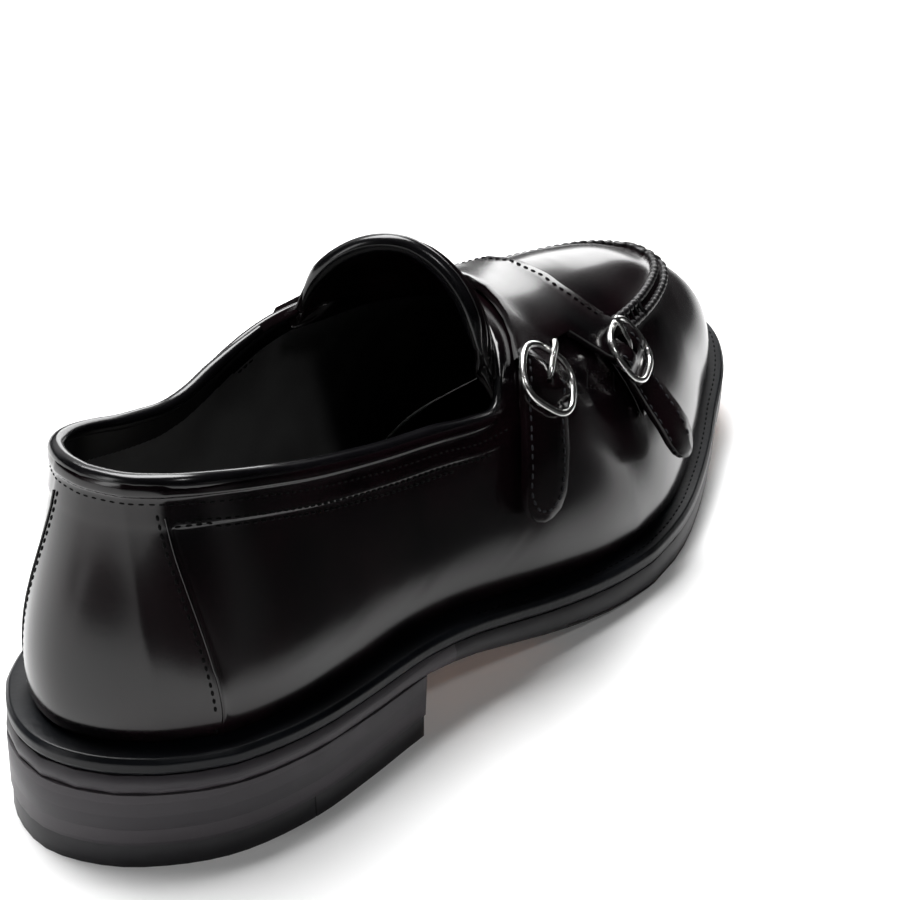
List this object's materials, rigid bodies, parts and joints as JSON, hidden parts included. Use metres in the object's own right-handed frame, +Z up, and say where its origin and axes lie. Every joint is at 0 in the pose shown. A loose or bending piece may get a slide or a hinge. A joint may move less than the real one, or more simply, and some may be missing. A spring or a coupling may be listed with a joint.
{
  "type": "double strap monk shoe",
  "caption": "Low leather dress shoe for a right foot, closed by two buckled straps from a saddle leaf, on a welted leather sole with a rubber forefoot and a stacked heel.",
  "frame": {"origin": "middle of the shoe's plan box, on the floor that heel and forefoot stand on", "axes": "+X towards the toe, +Y towards the inner side of the foot, +Z up; the buckles are on the -Y side"},
  "size_m": [0.305, 0.1078, 0.1108],
  "materials": {
    "upper_leather": "polished near-black calf",
    "strap_leather": "polished near-black calf",
    "tongue_leather": "polished near-black calf",
    "tab_leather": "matt near-black leather",
    "lining": "matt dark grey lining",
    "welt": "blue-black matt edge dressing",
    "sole_leather": "tan sole leather with blackened edges",
    "heel_stack": "blackened stacked leather",
    "sole_rubber": "fine textured black rubber",
    "buckle_metal": "polished nickel"
  },
  "bodies": {
    "root": {"outsole": "sole_leather", "forefoot_rubber": "sole_rubber", "heel_block": "heel_stack", "heel_rubber": "sole_rubber", "heel_top_piece": "sole_leather", "welt": "welt", "insole": "lining", "upper": "upper_leather", "tongue": "tongue_leather", "saddle_straps": "strap_leather", "buckle_frame_rear": "buckle_metal", "buckle_prong_rear": "buckle_metal", "buckle_tab_rear": "tab_leather", "buckle_frame_front": "buckle_metal", "buckle_prong_front": "buckle_metal", "buckle_tab_front": "tab_leather"}
  },
  "joints": []
}
